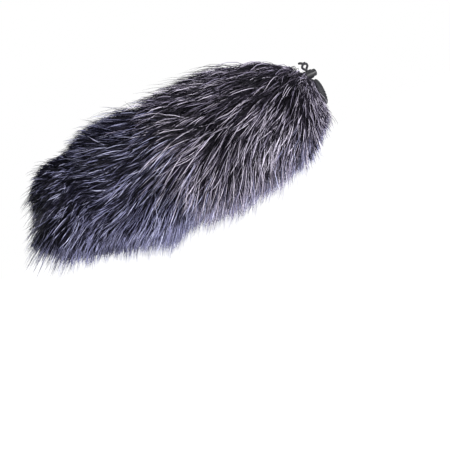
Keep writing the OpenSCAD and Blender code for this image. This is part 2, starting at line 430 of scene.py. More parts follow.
def cord_material():
    """Elastic cord's braided cover: crossing strands with fine filaments, and painted shade in the gaps between
    the strands.
    """
    n = Nodes("braided_cord")
    around, along = n.uv_sides("Weave")
    turn = n.math("MULTIPLY", around, BRAID_STRANDS / (CORD_R / MM))
    run = n.math("MULTIPLY", along, math.pi / (BRAID_PITCH / MM))
    one, other = (n.math("ABSOLUTE", n.math("SINE", n.math(way, turn, run))) for way in ("ADD", "SUBTRACT"))
    fibre = n.noise(n.place(), 3000, 3)
    mixed = n.blend(n.math("MAXIMUM", one, other), 0.6, fibre, 0.3)
    # the colour is painted shade in the gaps between the strands, mixed with filaments
    coloured(n, mixed, (0.003, 0.003, 0.004), (0.018, 0.018, 0.021))
    rough_by(n, fibre, 0.5, 0.75)
    return n.finish(mixed, 0.6, 0.12, 0.2)


def plastic_material(name, dark, light, rough, grain):
    """Moulded plastic: fine spark-eroded grain, rubbed smoother in patches."""
    n = Nodes(name)
    rubbed = n.noise(n.place(), 260, 4)
    spark = n.noise(n.place(), 4200, 3)
    coloured(n, rubbed, dark, light)
    rough_by(n, rubbed, *rough)
    return n.finish(spark, grain, 0.06, 0.2)


def steel_material():
    """Drawn spring wire: fine streaks and a little oil."""
    n = Nodes("spring_steel")
    stretched = n.add("ShaderNodeMapping", Scale=(1, 0.08, 1))
    n.link(n.uv("Weave"), stretched.inputs["Vector"])
    streak = n.noise(stretched.outputs[0], 9, 4)
    oil = n.noise(n.place(), 500, 3)
    coloured(n, oil, (0.42, 0.43, 0.45), (0.66, 0.67, 0.69))
    rough_by(n, streak, 0.22, 0.42)
    n.set(Metallic=1.0)
    return n.finish(streak, 0.25, 0.03, 0.5)


def fur_material(name, tones):
    """Hair: its tone is picked across the UV map, and painted shade darkens it down the UV map to the root."""
    n = Nodes(name)
    pick, up = n.uv_sides("OFBake")
    mix = n.add("ShaderNodeMix", data_type="RGBA", blend_type="MULTIPLY")
    mix.inputs["Factor"].default_value = 1
    n.link(n.ramp(pick, tones), mix.inputs["A"])
    # painted shade toward the root, multiplied into the tone
    n.link(n.ramp(up, ROOT_SHADE), mix.inputs["B"])
    n.feed("Base Color", mix.outputs["Result"])
    n.feed("Roughness", n.spread(up, 0, 1, 0.6, 0.36))
    n.set(Specular_IOR_Level=0.09)
    return n.material


# Painted shade deep in the pile: how dark the hair is made from its root, at 0, to its tip
ROOT_SHADE = [
    (0.0, (0.05, 0.05, 0.06)), (0.35, (0.16, 0.16, 0.17)), (0.6, (0.85, 0.85, 0.85)), (1.0, (1.0, 1.0, 1.0)),
]
# Tones from the darkest hair to the lightest: browner ones behind the whorl and bluer ones ahead of it.
# The UV map's left half holds the first set and its right half the second.
BROWN_TONES = [
    (0.00, (0.0045, 0.0042, 0.0065)), (0.20, (0.009, 0.008, 0.012)), (0.35, (0.022, 0.018, 0.032)),
    (0.50, (0.055, 0.047, 0.068)), (0.62, (0.13, 0.114, 0.15)), (0.74, (0.25, 0.225, 0.32)),
    (0.86, (0.43, 0.395, 0.47)), (1.00, (0.70, 0.65, 0.78)),
]
BLUE_TONES = [
    (0.00, (0.0042, 0.0042, 0.008)), (0.20, (0.008, 0.008, 0.014)), (0.35, (0.018, 0.017, 0.038)),
    (0.50, (0.047, 0.044, 0.078)), (0.62, (0.11, 0.108, 0.17)), (0.74, (0.21, 0.212, 0.37)),
    (0.86, (0.37, 0.375, 0.54)), (1.00, (0.63, 0.64, 0.88)),
]
FUR_TONES = [(at / 2, c) for at, c in BROWN_TONES] + [(0.5005 + at * 0.4995, c) for at, c in BLUE_TONES]

# ---- Skin of the windscreen: the fur's backing, which the hair grows from ----

ROUND_ROWS = 24
SLEEVE_ROWS = 60
NOSE_ROWS = 8
SKIN_GROW = 1.6 * MM
SKIN_INNER = 14.2 * MM
# Steps of an evenly spread sequence of points in a square, and of one on a line
SPREAD_U = 0.7548776662466927
SPREAD_V = 0.5698402909980532
GOLDEN_STEP = 0.618034


def skin_profile(grow, inner):
    """Rows from the collar to the nose's centre, that far outside the foam: distance from the mouth,
    radius, and the outward direction along both. inner is the least radius on the rear shoulder."""
    rows = []
    back = FOAM_BACK + SHOULDER_ROUND
    front = FOAM_FRONT - NOSE_ROUND
    quarter = [i / ROUND_ROWS * math.pi / 2 for i in range(ROUND_ROWS + 1)]
    for f in quarter:
        r = FOAM_R - SHOULDER_ROUND + (SHOULDER_ROUND + grow) * math.sin(f)
        if r >= inner:
            rows.append((back - (SHOULDER_ROUND + grow) * math.cos(f), r, -math.cos(f), math.sin(f)))
    for i in range(1, SLEEVE_ROWS):
        rows.append((back + (front - back) * i / SLEEVE_ROWS, FOAM_R + grow, 0, 1))
    for f in quarter:
        a = front + (NOSE_ROUND + grow) * math.sin(f)
        r = FOAM_R - NOSE_ROUND + (NOSE_ROUND + grow) * math.cos(f)
        rows.append((a, r, math.sin(f), math.cos(f)))
    for i in range(1, NOSE_ROWS + 1):
        rows.append((FOAM_FRONT + grow, (FOAM_R - NOSE_ROUND) * (1 - i / NOSE_ROWS), 1, 0))
    return np.array(rows)


def scatter(count, offset, share=1.0):
    """Evenly spread places on the skin: the profile's four numbers, and the angle round the axis.
    share keeps to the part of the skin nearest the collar."""
    rows = skin_profile(SKIN_GROW, SKIN_INNER)
    steps = np.linalg.norm(np.diff(rows[:, :2], axis=0), axis=1)
    area = np.concatenate([[0], np.cumsum(steps * (rows[1:, 1] + rows[:-1, 1]))])
    i = np.arange(count)
    u = (offset + SPREAD_U * i) % 1
    v = (offset + SPREAD_V * i) % 1
    at = np.array([np.interp(u * share * area[-1], area, rows[:, c]) for c in range(4)])
    return at[0], at[1], at[2], at[3], v * 2 * math.pi


def place_of(a, r, th):
    return np.stack([r * np.cos(th), -a, r * np.sin(th)], -1)


# ---- Hair ----

GUARD_HAIRS = 48000
HAIR_LENGTH = 58 * MM
LIGHT_SHARE = 0.17
FRINGE_HAIRS = 12000
FRINGE_LENGTH = 67 * MM
RUFF_HAIRS = 2600
RUFF_LENGTH = 52 * MM
UNDER_HAIRS = 14000
UNDER_LENGTH = 30 * MM

# The axis that hair is kept away from, as distances from the mouth
AXIS_FROM = FOAM_BACK + SHOULDER_ROUND
AXIS_TO = FOAM_FRONT - 26 * MM
# The least room between the hair and the fur's backing, and between it and the collar
SKIN_CLEAR = 1.5 * MM
COLLAR_CLEAR = 1.2 * MM
# The space that is left to the cord lock and its cord
LOCK_HALF_W = 6.0 * MM
LOCK_REACH = 18 * MM
LOCK_TOP = 40 * MM
# How far past the CAD pile a hair may end
PAST_LOW = 13 * MM
PAST_HIGH = 12 * MM
PAST_NOSE = 60 * MM

WHORL_AT = 152 * MM
# The hair's length along the windscreen, as places from the mouth and shares of its full length
LENGTH_ALONG = (
    (0.020, 0.46), (0.060, 0.95), (0.160, 1), (0.200, 0.84), (0.235, 0.60),
    (SEAM_AT, 0.54), (SEAM_AT + 0.003, 0.74),
)
# Where the hair is shorter still: a run of places from the mouth, a run of heights on the skin
# from -1 at the underside to 1 at the top, and the share that is lost there
SHORTER = (
    ((190 * MM, 250 * MM), (-0.1, 0.6), 0.33),
    ((60 * MM, 110 * MM), (0.15, 0.7), 0.17),
    ((215 * MM, 250 * MM), (0, -0.5), 0.14),
)
# How strongly the nap runs to the nose against gravity's pull, from the underside to the top:
# heights on the skin, and the pull at each behind the whorl and ahead of it
REAR_PULL = ((-1, 0.7), (-0.5, 0.5), (0, 0.6), (0.4, 1.3), (0.8, 3.5))
NOSE_PULL = ((-1, 0.2), (-0.6, 1.2), (0, 2.8), (0.5, 4.5))


def outward(p):
    """Direction away from the windscreen's own axis, and the distance from it."""
    near = np.zeros_like(p)
    near[:, 1] = np.clip(p[:, 1], -AXIS_TO, -AXIS_FROM)
    away = p - near
    return unit(away), np.linalg.norm(away, axis=-1)


class Waves:
    """Smooth noise over the skin: a sum of waves with random directions."""

    def __init__(self, seed, size, count=9):
        rng = np.random.default_rng(seed)
        self.k = rng.normal(0, 2 * math.pi / size, (count, 3))
        self.phase = rng.uniform(0, 2 * math.pi, count)

    def __call__(self, p):
        return np.sin(p @ self.k.T + self.phase).sum(-1) / math.sqrt(len(self.phase) / 2)


TURN_NOISE = Waves(11, 0.07)
LIFT_NOISE = Waves(12, 0.07)


def comb(a, th, n):
    """Where the hair's tips point to at each place on the skin."""
    height = np.sin(th)
    # on the side that is seen, the change at the whorl is a sharp parting
    sharp = ease(height, -0.9, -0.5) * (1 - ease(height, 0.1, 0.45)) * (np.cos(th) > 0)
    ahead = ease(a, WHORL_AT - (12 - 10 * sharp) * MM, WHORL_AT + (14 - 10 * sharp) * MM)
    rear = 0.25 + 0.75 * ease(a, 30 * MM, 85 * MM)
    pull = np.interp(height, *zip(*REAR_PULL)) * rear * (1 - ahead)
    pull = pull + np.interp(height, *zip(*NOSE_PULL)) * ahead
    at_nose = ease(a, SEAM_AT - 12 * MM, SEAM_AT + 4 * MM)
    pull = pull * (1 - at_nose) + 0.5 * at_nose
    tip = GRAVITY + pull[:, None] * NOSE_WARD
    # hair near the collar is combed out from it and back over it
    collar = 1 - ease(a, 20 * MM, 42 * MM)
    tip = tip + collar[:, None] * (0.3 * unit(n * np.array([1, 0, 1])) + np.array([0, 0.3, 0]))
    return unit(tip)


def turned(v, axis, angle):
    c, s = np.cos(angle)[:, None], np.sin(angle)[:, None]
    return v * c + np.cross(axis, v) * s + axis * np.sum(axis * v, -1, keepdims=True) * (1 - c)


def off_collar(p):
    """The same places, but those inside the collar moved out to lie on it."""
    away = np.hypot(p[..., 0], p[..., 2])
    inside = (p[..., 1] > -COLLAR_LENGTH - 1 * MM) & (away < COLLAR_TOP + COLLAR_CLEAR)
    grow = np.where(inside, (COLLAR_TOP + COLLAR_CLEAR) / np.maximum(away, 1e-6), 1)
    return p * np.stack([grow, np.ones_like(grow), grow], -1)


def grown(root, first, tip, size, segments, on_sleeve):
    """Paths that bend from their first direction to their tip's and stay outside the skin."""
    path = [root]
    for i in range(segments):
        w = ((i + 0.5) / segments) ** 0.85
        d = unit(first * (1 - w) + tip * w)
        out, _ = outward(path[-1])
        inward = np.minimum(np.sum(d * out, -1) + 0.10, 0)
        d = unit(d - out * inward[:, None])
        q = path[-1] + d * (size / segments)[:, None]
        out, away = outward(q)
        least = FOAM_R + SKIN_GROW + SKIN_CLEAR * (i > 0)
        q = q + out * np.maximum(least - away, 0)[:, None] * on_sleeve[:, None]
        path.append(off_collar(q))
    return np.stack(path, 1)


def strand_paths(
    count, offset, length, seed, segments=6, lean=(24, 32), stretch=1, chaos=0.2, trim=(0.2, 0.4), share=1.0
):
    """Paths of evenly spread hairs before they gather in locks, and their roots' places. lean is in degrees,
    on the top and on the sides. chaos turns single hairs aside, and trim shortens those underneath."""
    rng = np.random.default_rng(seed)
    a, r, na, nr, th = scatter(count, offset, share)
    height = np.sin(th)
    p = place_of(a, r, th)
    n = np.stack([nr * np.cos(th), -na, nr * np.sin(th)], -1)
    tip = turned(comb(a, th, n), n, 0.22 * TURN_NOISE(p) + rng.normal(0, chaos, count))
    flat = unit(tip - n * np.sum(tip * n, -1, keepdims=True))
    loft = 0.22 + 0.25 * ease(height, 0.3, 0.9)
    tip = unit(tip + n * (rng.uniform(0, 1, count) * loft)[:, None])
    # on the rear shoulder hair starts more across the bore than back along it
    rear = (n[:, 1] > 0) * ease(r, 18 * MM, 25 * MM)
    n = unit(n * np.stack([np.ones(count), 1 - 0.8 * rear, np.ones(count)], 1))
    side = ease(1 - np.abs(height), 0, 0.7)
    angle = np.radians(lean[0] + (lean[1] - lean[0]) * side + 12 * ease(-height, 0.4, 1))
    angle = angle + 0.05 * LIFT_NOISE(p) + rng.normal(0, 0.12, count) * (1 + np.maximum(height, 0))
    first = n * np.cos(angle)[:, None] + flat * np.sin(angle)[:, None]
    size = length * (1 + 0.05 * LIFT_NOISE(p * 1.7) + rng.normal(0, 0.10, count)) * stretch
    cut_off = rng.uniform(*trim, count) * ease(-height, 0.3, 0.9)
    size = size * np.interp(a, *zip(*LENGTH_ALONG)) * (1 - cut_off)
    for places, heights, lost in SHORTER:
        size = size * (1 - lost * ease(a, *places) * ease(height, *heights))
    return grown(p, first, tip, size, segments, a > AXIS_FROM), (a, th)


def nearest(paths, guides):
    """For each path the number of the guide whose root is nearest."""
    tree = KDTree(len(guides))
    for i, root in enumerate(guides[:, 0]):
        tree.insert(root, i)
    tree.balance()
    return np.array([tree.find(root)[1] for root in paths[:, 0]])


def gather(paths, guides, which, strength):
    """Draws each hair toward its guide's path, more and more to the tip."""
    t = np.linspace(0, 1, paths.shape[1])[None, :, None]
    guide = guides[which]
    return paths + (guide - paths) * strength[:, None, None] * t**1.3


def wobble(paths, size, seed):
    """Small bends of single hairs."""
    rng = np.random.default_rng(seed)
    steps = rng.normal(0, size, (paths.shape[0], paths.shape[1] - 1, 3))
    t = np.linspace(0, 1, paths.shape[1])[1:, None]
    moved = paths.copy()
    moved[:, 1:] += np.cumsum(steps, 1) * t
    return moved


def kept_hairs(paths):
    """Which hairs stay: those that don't cross the cord lock or its cord, have no jump in them, and
    don't end too far past the CAD pile."""
    x, y, z = paths[..., 0], paths[..., 1], paths[..., 2]
    lock = (np.abs(x) < LOCK_HALF_W) & (y > -LOCK_REACH) & (z > 0) & (z < LOCK_TOP)
    steps = np.linalg.norm(np.diff(paths, axis=1), axis=-1)
    jump = steps.max(1) > 2.2 * np.median(steps, 1)
    far = (z < PILE_LOW.z - PAST_LOW) | (z > PILE_HIGH.z + PAST_HIGH) | (y < PILE_LOW.y - PAST_NOSE)
    return ~((lock | far).any(1) | jump)


def painted_shade(a, th):
    """Painted shade on the coat: how much darker it is made along its top, over its nose half, under the nose
    and beside the collar.
    """
    height = np.sin(th)
    top = np.maximum(ease(height, 0.1, 0.7), 0.85 * ease(a, WHORL_AT - 4 * MM, WHORL_AT + 24 * MM))
    under_nose = ease(a, 190 * MM, 225 * MM) * ease(-height, -0.2, 0.4)
    return top + 0.5 * under_nose + 0.6 * (1 - ease(a, 28 * MM, 50 * MM)) * (1 - top)


# Each kind of hair gives paths, root radius, tone and the roots' places. All draw from one generator,
# so grow_hair calls them in one fixed order.


def lock_paths(rng):
    """The locks that hair gathers in, drawn a little into larger wisps themselves."""
    locks, _ = strand_paths(5200, 0.31, HAIR_LENGTH * 1.04, 1, chaos=0.3)
    wisps, _ = strand_paths(520, 0.17, HAIR_LENGTH * 1.08, 2, chaos=0.12)
    return gather(locks, wisps, nearest(locks, wisps), rng.uniform(0.0, 0.6, len(locks)))


def guard_hair(rng, locks):
    """The coat: a dark base with lighter and longer hair in it."""
    count = GUARD_HAIRS
    root_a, _, _, _, root_th = scatter(count, 0.5)
    # painted shade: where it is high there are fewer light hairs, and every tone is made darker
    dark = painted_shade(root_a, root_th)
    light = rng.random(count) < LIGHT_SHARE * (1 - 0.30 * dark)
    stretch = np.where(light, 1.08, 0.84)
    paths, (a, th) = strand_paths(count, 0.5, HAIR_LENGTH, 4, stretch=stretch)
    which = nearest(paths, locks)
    strength = rng.uniform(0.3, 0.8, count)
    free = rng.random(count) < 0.12
    strength[free] *= 0.2
    paths = wobble(gather(paths, locks, which, strength), 0.6 * MM, 5)
    lock_tone = rng.normal(0, 0.13, len(locks))[which]
    # the tones are darkened by the painted shade
    tone = np.where(light, 0.83 - 0.11 * dark, 0.18 - 0.07 * dark)
    tone = tone + rng.normal(0, 0.12, count) + 0.7 * lock_tone
    radius = np.where(light, rng.uniform(0.22, 0.42, count), rng.uniform(0.22, 0.38, count)) * MM
    return paths, radius, np.clip(tone, 0.02, 0.98), a, th


def fringe_hair(rng, locks):
    """Long thin light hair, sparse but for the underside."""
    root_a = scatter(FRINGE_HAIRS, 0.11)[0]
    stretch = 1 + 0.25 * ease(root_a, 225 * MM, 268 * MM)
    paths, (a, th) = strand_paths(FRINGE_HAIRS, 0.11, FRINGE_LENGTH, 8, trim=(0.15, 0.3), stretch=stretch)
    paths = gather(paths, locks, nearest(paths, locks), rng.uniform(0, 0.35, len(paths)))
    paths = wobble(paths, 0.5 * MM, 9)
    low = ease(-np.sin(th), -0.1, 0.8) * (1 - 0.3 * ease(a, 190 * MM, 230 * MM))
    chosen = rng.random(len(paths)) < 0.18 + 0.8 * low
    paths, a, th = paths[chosen], a[chosen], th[chosen]
    # painted shade: fringe hair is made darker toward the top
    tone = rng.normal(0.68, 0.12, len(paths)) - 0.4 * ease(np.sin(th), -0.1, 0.4)
    return paths, rng.uniform(0.16, 0.27, len(paths)) * MM, np.clip(tone, 0.1, 0.98), a, th


def ruff_hair(rng):
    """The ruff: hair packed round the collar where the sleeve's end is gathered."""
    paths, (a, th) = strand_paths(RUFF_HAIRS, 0.41, RUFF_LENGTH, 10, lean=(8, 20), chaos=0.35, share=0.025)
    paths = wobble(paths, 0.6 * MM, 11)
    tone = rng.choice([0.2, 0.5, 0.8], len(paths)) + rng.normal(0, 0.1, len(paths))
    return paths, rng.uniform(0.2, 0.32, len(paths)) * MM, np.clip(tone, 0.02, 0.98), a, th


def under_hair(rng):
    """Short dark hair that hides the backing."""
    paths, (a, th) = strand_paths(UNDER_HAIRS, 0.77, UNDER_LENGTH, 6, segments=4, lean=(25, 35))
    paths = wobble(paths, 1.1 * MM, 7)
    tone = rng.normal(0.16, 0.08, len(paths))
    return paths, rng.uniform(0.18, 0.3, len(paths)) * MM, np.clip(tone, 0.02, 0.45), a, th


def grow_hair():
    rng = np.random.default_rng(3)
    locks = lock_paths(rng)
    guard = guard_hair(rng, locks)
    fringe = fringe_hair(rng, locks)
    ruff = ruff_hair(rng)
    under = under_hair(rng)
    coat = tuple(np.concatenate(pair) for pair in zip(guard, ruff))
    return {"guard": coat, "under": under, "fringe": fringe}


def hair_mesh(name, paths, radius, tone):
    """Three-sided hairs that taper to a point, closed at the root."""
    count, rings = paths.shape[:2]
    rings -= 1
    d = unit(np.gradient(paths, axis=1))
    s = unit(np.cross(d, unit(paths[:, :1] * np.array([1, 0, 1]) + 1e-6)))
    b = np.cross(d, s)
    t = np.linspace(0, 1, rings + 1)[None, :-1]
    width = radius[:, None] * (1 - 0.7 * t**3)
    points = []
    for k in range(3):
        f = 2 * math.pi * k / 3
        points.append(paths[:, :-1] + width[..., None] * (math.cos(f) * s[:, :-1] + math.sin(f) * b[:, :-1]))
    per = rings * 3 + 1
    points = np.concatenate([np.stack(points, 2).reshape(count, -1, 3), paths[:, -1:]], 1).reshape(-1, 3)
    faces, uv = [(0, 2, 1)], [((0, 0), (1, 0), (0.5, 0))]
    for i in range(rings):
        v, w = i / rings, (i + 1) / rings
        for k in range(3):
            low, high, left, right = i * 3 + k, i * 3 + (k + 1) % 3, k / 3, (k + 1) / 3
            if i == rings - 1:
                faces.append((low, high, rings * 3))
                uv.append(((left, v), (right, v), ((k + 0.5) / 3, 1)))
            else:
                faces += [(low, high, high + 3), (low, high + 3, low + 3)]
                uv += [((left, v), (right, v), (right, w)), ((left, v), (right, w), (left, w))]
    faces, uv = np.array(faces), np.array(uv)
    loops = (faces[None] + per * np.arange(count)[:, None, None]).ravel()
    u = (tone[:, None, None] + (uv[None, :, :, 0] - 0.5) * 0.002).ravel()
    v = np.broadcast_to(uv[None, :, :, 1] * 0.98 + 0.01, (count, *uv.shape[:2])).ravel()
    mesh = bpy.data.meshes.new(name)
    mesh.vertices.add(len(points))
    mesh.vertices.foreach_set("co", points.astype(np.float32).ravel())
    mesh.loops.add(len(loops))
    mesh.loops.foreach_set("vertex_index", loops.astype(np.int32))
    mesh.polygons.add(len(loops) // 3)
    mesh.polygons.foreach_set("loop_start", np.arange(0, len(loops), 3, dtype=np.int32))
    layer = mesh.uv_layers.new(name="OFBake")
    layer.uv.foreach_set("vector", np.stack([u, v], -1).astype(np.float32).ravel())
    mesh.update(calc_edges=True)
    mesh.shade_smooth()
    return mesh


SLEEVE_BANDS = 3
SLEEVE_SECTORS = "abcde"
# Painted shade on the nose panel's hair: its tones are made this much darker
NOSE_SHADE = 0.8


def add_fur():
    # the nose panel's hair gets a copy of the coat's tones darkened as painted shade
    shaded_nose_tones = [(at, tuple(NOSE_SHADE * c for c in colour)) for at, colour in FUR_TONES]
    on_sleeve = (fur_material("fur_hair", FUR_TONES), "fur", "fur_sleeve")
    on_nose = (fur_material("fur_nose_hair_shaded", shaded_nose_tones), "fur_nose", "fur_nose_panel")
    for kind, (paths, radius, tone, a, th) in grow_hair().items():
        paths = off_collar(paths)
        keep = kept_hairs(paths)
        # bluer ahead of the whorl; the bluer underside is painted cool light from below
        cool = ease(a, WHORL_AT - 30 * MM, WHORL_AT + 20 * MM) + 0.6 * ease(-np.sin(th), 0.1, 0.9)
        # the tone's place in the left, brown half of the UV map or in its right, blue half
        hue = (tone + (cool > (np.arange(len(a)) * GOLDEN_STEP) % 1)) / 2
        nose = a > SEAM_AT
        band = np.minimum((a / SEAM_AT * SLEEVE_BANDS).astype(int), SLEEVE_BANDS - 1)
        sector = (th / (2 * math.pi) * len(SLEEVE_SECTORS)).astype(int)
        groups = {"nose": nose}
        for i in range(SLEEVE_BANDS):
            here = ~nose & (band == i)
            if kind == "guard":
                for j, letter in enumerate(SLEEVE_SECTORS):
                    groups[f"sleeve_{i + 1}{letter}"] = here & (sector == j)
            else:
                groups[f"sleeve_{i + 1}"] = here
        for place, chosen in groups.items():
            name = f"fur_{kind}_{place}"
            chosen = keep & chosen
            mesh = hair_mesh(name, paths[chosen], radius[chosen], hue[chosen])
            new_piece(name, mesh, *(on_nose if place == "nose" else on_sleeve))


# ---- Backing, lining and foam ----

# Sides of a turned shell, and a distance from the mouth that lies past the nose
SHELL_SIDES = 128
BEYOND = 1


def pocked(seed, depth):
    """Relief for a turned surface: shallow noise, deeper inward than outward."""
    rng = np.random.default_rng(seed)
    phases = rng.uniform(0, 2 * math.pi, (4, 2))
    turns = rng.integers(5, 40, 4)

    def relief(angle, row):
        wave = sum(np.sin(n * angle + p + row * (0.4 + q)) for n, (p, q) in zip(turns, phases))
        return depth * (wave / 4 - 0.5)

    return relief


def line_of(grow, inner=0.0):
    return skin_profile(grow, inner)[:, :2]


def cut(line, start, end):
    """The part of a line between two distances from the mouth, with its cut ends put in."""
    at = np.array([start, end])
    inside = line[(line[:, 0] > start) & (line[:, 0] < end)]
    ends = np.stack([at, np.interp(at, line[:, 0], line[:, 1])], 1)
    low = ends[:1] if line[0, 0] < start else line[:0]
    high = ends[1:] if line[-1, 0] > end else line[:0]
    return np.concatenate([low, inside, high])


def add_wall(name, outer, inner, start, end, relief, material, slot, node):
    """A thin turned wall between two lines, from one distance to another. It is open at the nose's pole."""
    section = shell(cut(outer, start, end), cut(inner, start, end))
    new_piece(name, revolved(section, SHELL_SIDES, relief, closed=end < BEYOND), material, slot, node)


def add_backing():
    knit = cloth_material("fur_backing_knit", (0.006, 0.006, 0.008), (0.03, 0.03, 0.036), 1.1, depth=0.2)
    lines = (line_of(SKIN_GROW, SKIN_INNER), line_of(0.85 * MM, SKIN_INNER - 0.5 * MM))
    relief = pocked(21, 0.15 * MM)
    add_wall("fur_backing_sleeve", *lines, 0, SEAM_AT, relief, knit, "fur", "fur_sleeve")
    add_wall("fur_backing_nose", *lines, SEAM_AT + 0.2 * MM, BEYOND, relief, knit, "fur_nose", "fur_nose_panel")


def add_lining():
    cloth = cloth_material("lining_cloth", (0.010, 0.010, 0.012), (0.045, 0.045, 0.05), 0.5)
    at = -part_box("lining_sleeve")[0].y
    lines = [line_of(grow, BORE_R + 0.3 * MM) for grow in (0.58 * MM, 0.24 * MM)]
    relief = pocked(22, 0.08 * MM)
    add_wall("lining_sleeve_cloth", *lines, 0, at, relief, cloth, "lining", "lining_sleeve")
    add_wall("lining_nose_cloth", *lines, at + 0.2 * MM, BEYOND, relief, cloth, "lining", "lining_nose_panel")


def add_foam():
    foam = foam_material()
    outer = cut(line_of(0, BORE_R), 0, BORE_END)
    depth = np.linspace(BORE_END, FOAM_BACK, 60)
    core = np.concatenate([outer, np.stack([depth, np.full(len(depth), BORE_R)], 1)])
    relief = pocked(23, 0.12 * MM)

    def core_relief(angle, row):
        return relief(angle, row) if row < len(outer) else -0.3 * relief(angle, row)

    core = revolved(core, SHELL_SIDES, core_relief, closed=True)
    face = [(BORE_END, FOAM_R * i / 12) for i in range(12)]
    plug = np.concatenate([face, cut(line_of(0, 0), BORE_END, BEYOND)])
    plug = revolved(plug, SHELL_SIDES, pocked(24, 0.12 * MM))
    new_piece("foam_core_cells", core, foam, "foam", "foam_core")
    new_piece("foam_plug_cells", plug, foam, "foam", "foam_nose_plug")


# ---- Collar ----

HEM_LENGTH = 3.0 * MM
CHANNEL_END = 2 * CHANNEL_AT - HEM_LENGTH
CLOTH = 0.55 * MM
COLLAR_SIDES = 300
SLOT_HALF_W = 4.2 * MM
SLOT_HALF_L = 1.4 * MM


def pleats(angle, count, seed):
    """Uneven folds round the collar, from 0 in a fold to 1 on its crest."""
    rng = np.random.default_rng(seed)
    p = rng.uniform(0, 2 * math.pi, 4)
    warp = 1.1 * np.sin(2 * angle + p[0]) + 0.8 * np.sin(5 * angle + p[1]) + 0.5 * np.sin(9 * angle + p[2])
    wave = 0.5 + 0.5 * np.cos(count * angle + warp + p[3])
    return wave**0.7


def collar_radii(angle, a):
    """Outer and inner radius of the gathered band at one distance from the mouth."""
    hem = 1 - ease(a, HEM_LENGTH - 0.9 * MM, HEM_LENGTH + 0.2 * MM)
    band = ease(a, CHANNEL_END - 0.2 * MM, CHANNEL_END + 0.8 * MM)
    fold = pleats(angle, 26, 31)
    frill = BORE_R + 1.12 * MM + (fold - 0.5) * 1.5 * MM * (0.65 + 0.35 * np.cos(3 * angle + 1))
    over = np.sqrt(np.maximum(BULGE_R**2 - (a - CHANNEL_AT) ** 2, (0.2 * MM) ** 2))
    bulge = CHANNEL_R + over - 0.30 * MM * (1 - pleats(angle, 38, 32)) * (abs(a - CHANNEL_AT) < BULGE_R)
    slack = 1 - 0.35 * ease(a, COLLAR_LENGTH - 6 * MM, COLLAR_LENGTH)
    flat = BAND_R - 0.75 * MM * slack * (1 - pleats(angle + 2 * (a - CHANNEL_END), 30, 33))
    outer = (frill + CLOTH / 2) * hem + bulge * (1 - hem) * (1 - band) + flat * band
    inner = (frill - CLOTH / 2) * hem + (BORE_R + 0.03 * MM) * (1 - hem)
    return np.maximum(outer, inner + 0.3 * MM), inner


def slot_outline(edge, steps=14):
    """The buttonhole's outline on the collar's top, as places across and along, grown by an edge."""
    ends = []
    for side in (1, -1):
        for i in range(steps + 1):
            f = math.pi * (i / steps - 0.5)
            ends.append((
                side * (SLOT_HALF_W - SLOT_HALF_L + (SLOT_HALF_L + edge) * math.cos(f)),
                side * (SLOT_HALF_L + edge) * math.sin(f),
            ))
    return np.array(ends)


def prism(outline, low, high):
    """A closed solid with that outline at the buttonhole, between two heights."""
    count = len(outline)
    points = [(x, y - CHANNEL_AT, z) for z in (low, high) for x, y in outline]
    faces = [tuple(range(count - 1, -1, -1)), tuple(range(count, 2 * count))]
    faces += [(i, (i + 1) % count, count + (i + 1) % count, count + i) for i in range(count)]
    return mesh_of("cutter", points, faces)


def add_collar():
    cloth = cloth_material("collar_cloth", (0.006, 0.006, 0.007), (0.03, 0.03, 0.034), 0.42, depth=0.1)
    over_channel = np.linspace(0.05 * MM, CHANNEL_END + 1 * MM, 44)
    over_band = np.linspace(CHANNEL_END + 1.4 * MM, COLLAR_LENGTH, 26)
    places = np.concatenate([over_channel, over_band])
    # out along the cloth's face and back inside it; the relief gives the radius less 1
    section = [(a, 1) for a in places] + [(a, 1) for a in places[::-3]]

    def relief(angle, row):
        outer, inner = collar_radii(angle, section[row][0])
        return (outer if row < len(places) else inner) - 1

    band = revolved(section, COLLAR_SIDES, relief, closed=True)
    ring = [2 * math.pi * i / 20 for i in range(20)]
    hollow = [(CHANNEL_AT + CHANNEL_BORE * math.cos(f), CHANNEL_R + CHANNEL_BORE * math.sin(f)) for f in ring]
    channel = revolved(hollow, COLLAR_SIDES // 2, closed=True, inward=True)
    piece = bpy.data.objects.new("collar_cloth_band", mesh_of("collar_cloth_band", *joined([band, channel])))
    cutter = bpy.data.objects.new("cutter", prism(slot_outline(0), CHANNEL_R - 0.6 * MM, COLLAR_TOP + 1 * MM))
    SCENE.collection.objects.link(piece)
    SCENE.collection.objects.link(cutter)
    boolean = piece.modifiers.new("slot", "BOOLEAN")
    boolean.operation = "DIFFERENCE"
    boolean.object = cutter
    boolean.solver = "EXACT"
    made = bpy.data.meshes.new_from_object(piece.evaluated_get(bpy.context.evaluated_depsgraph_get()))
    piece.modifiers.clear()
    bpy.data.objects.remove(cutter)
    bpy.data.objects.remove(piece)
    new_piece("collar_cloth_band", made, cloth, "collar", "collar_band")


def on_collar(x, y):
    """Height of the channel's cloth over the bore's axis, across and along from the buttonhole's middle."""
    r = CHANNEL_R + np.sqrt(np.maximum(BULGE_R**2 - y**2, 0))
    return np.sqrt(np.maximum(r, BAND_R) ** 2 - x**2)


# ---- Stitches ----

THREAD_R = 0.3 * MM
PLY_PITCH = 0.9 * MM
COLLAR_STITCHES = 24
NOSE_STITCHES = 40
SEAM_PITCH = 4 * MM
SEAM_STITCH = 3.2 * MM
SEAM_SLANT = 0.25 * MM
# Places along a stitch from its start to its end, which dip into the cloth
ALONG_STITCH = (0, 0.15, 0.5, 0.85, 1)


def ply(angle, along):
    """Two twisted plies' relief."""
    return 0.78 + 0.22 * np.abs(np.cos(angle - along * math.pi / PLY_PITCH))


def stitch_on(points):
    return tube(spline(points, 3), THREAD_R, 8, ply, ends=THREAD_R)


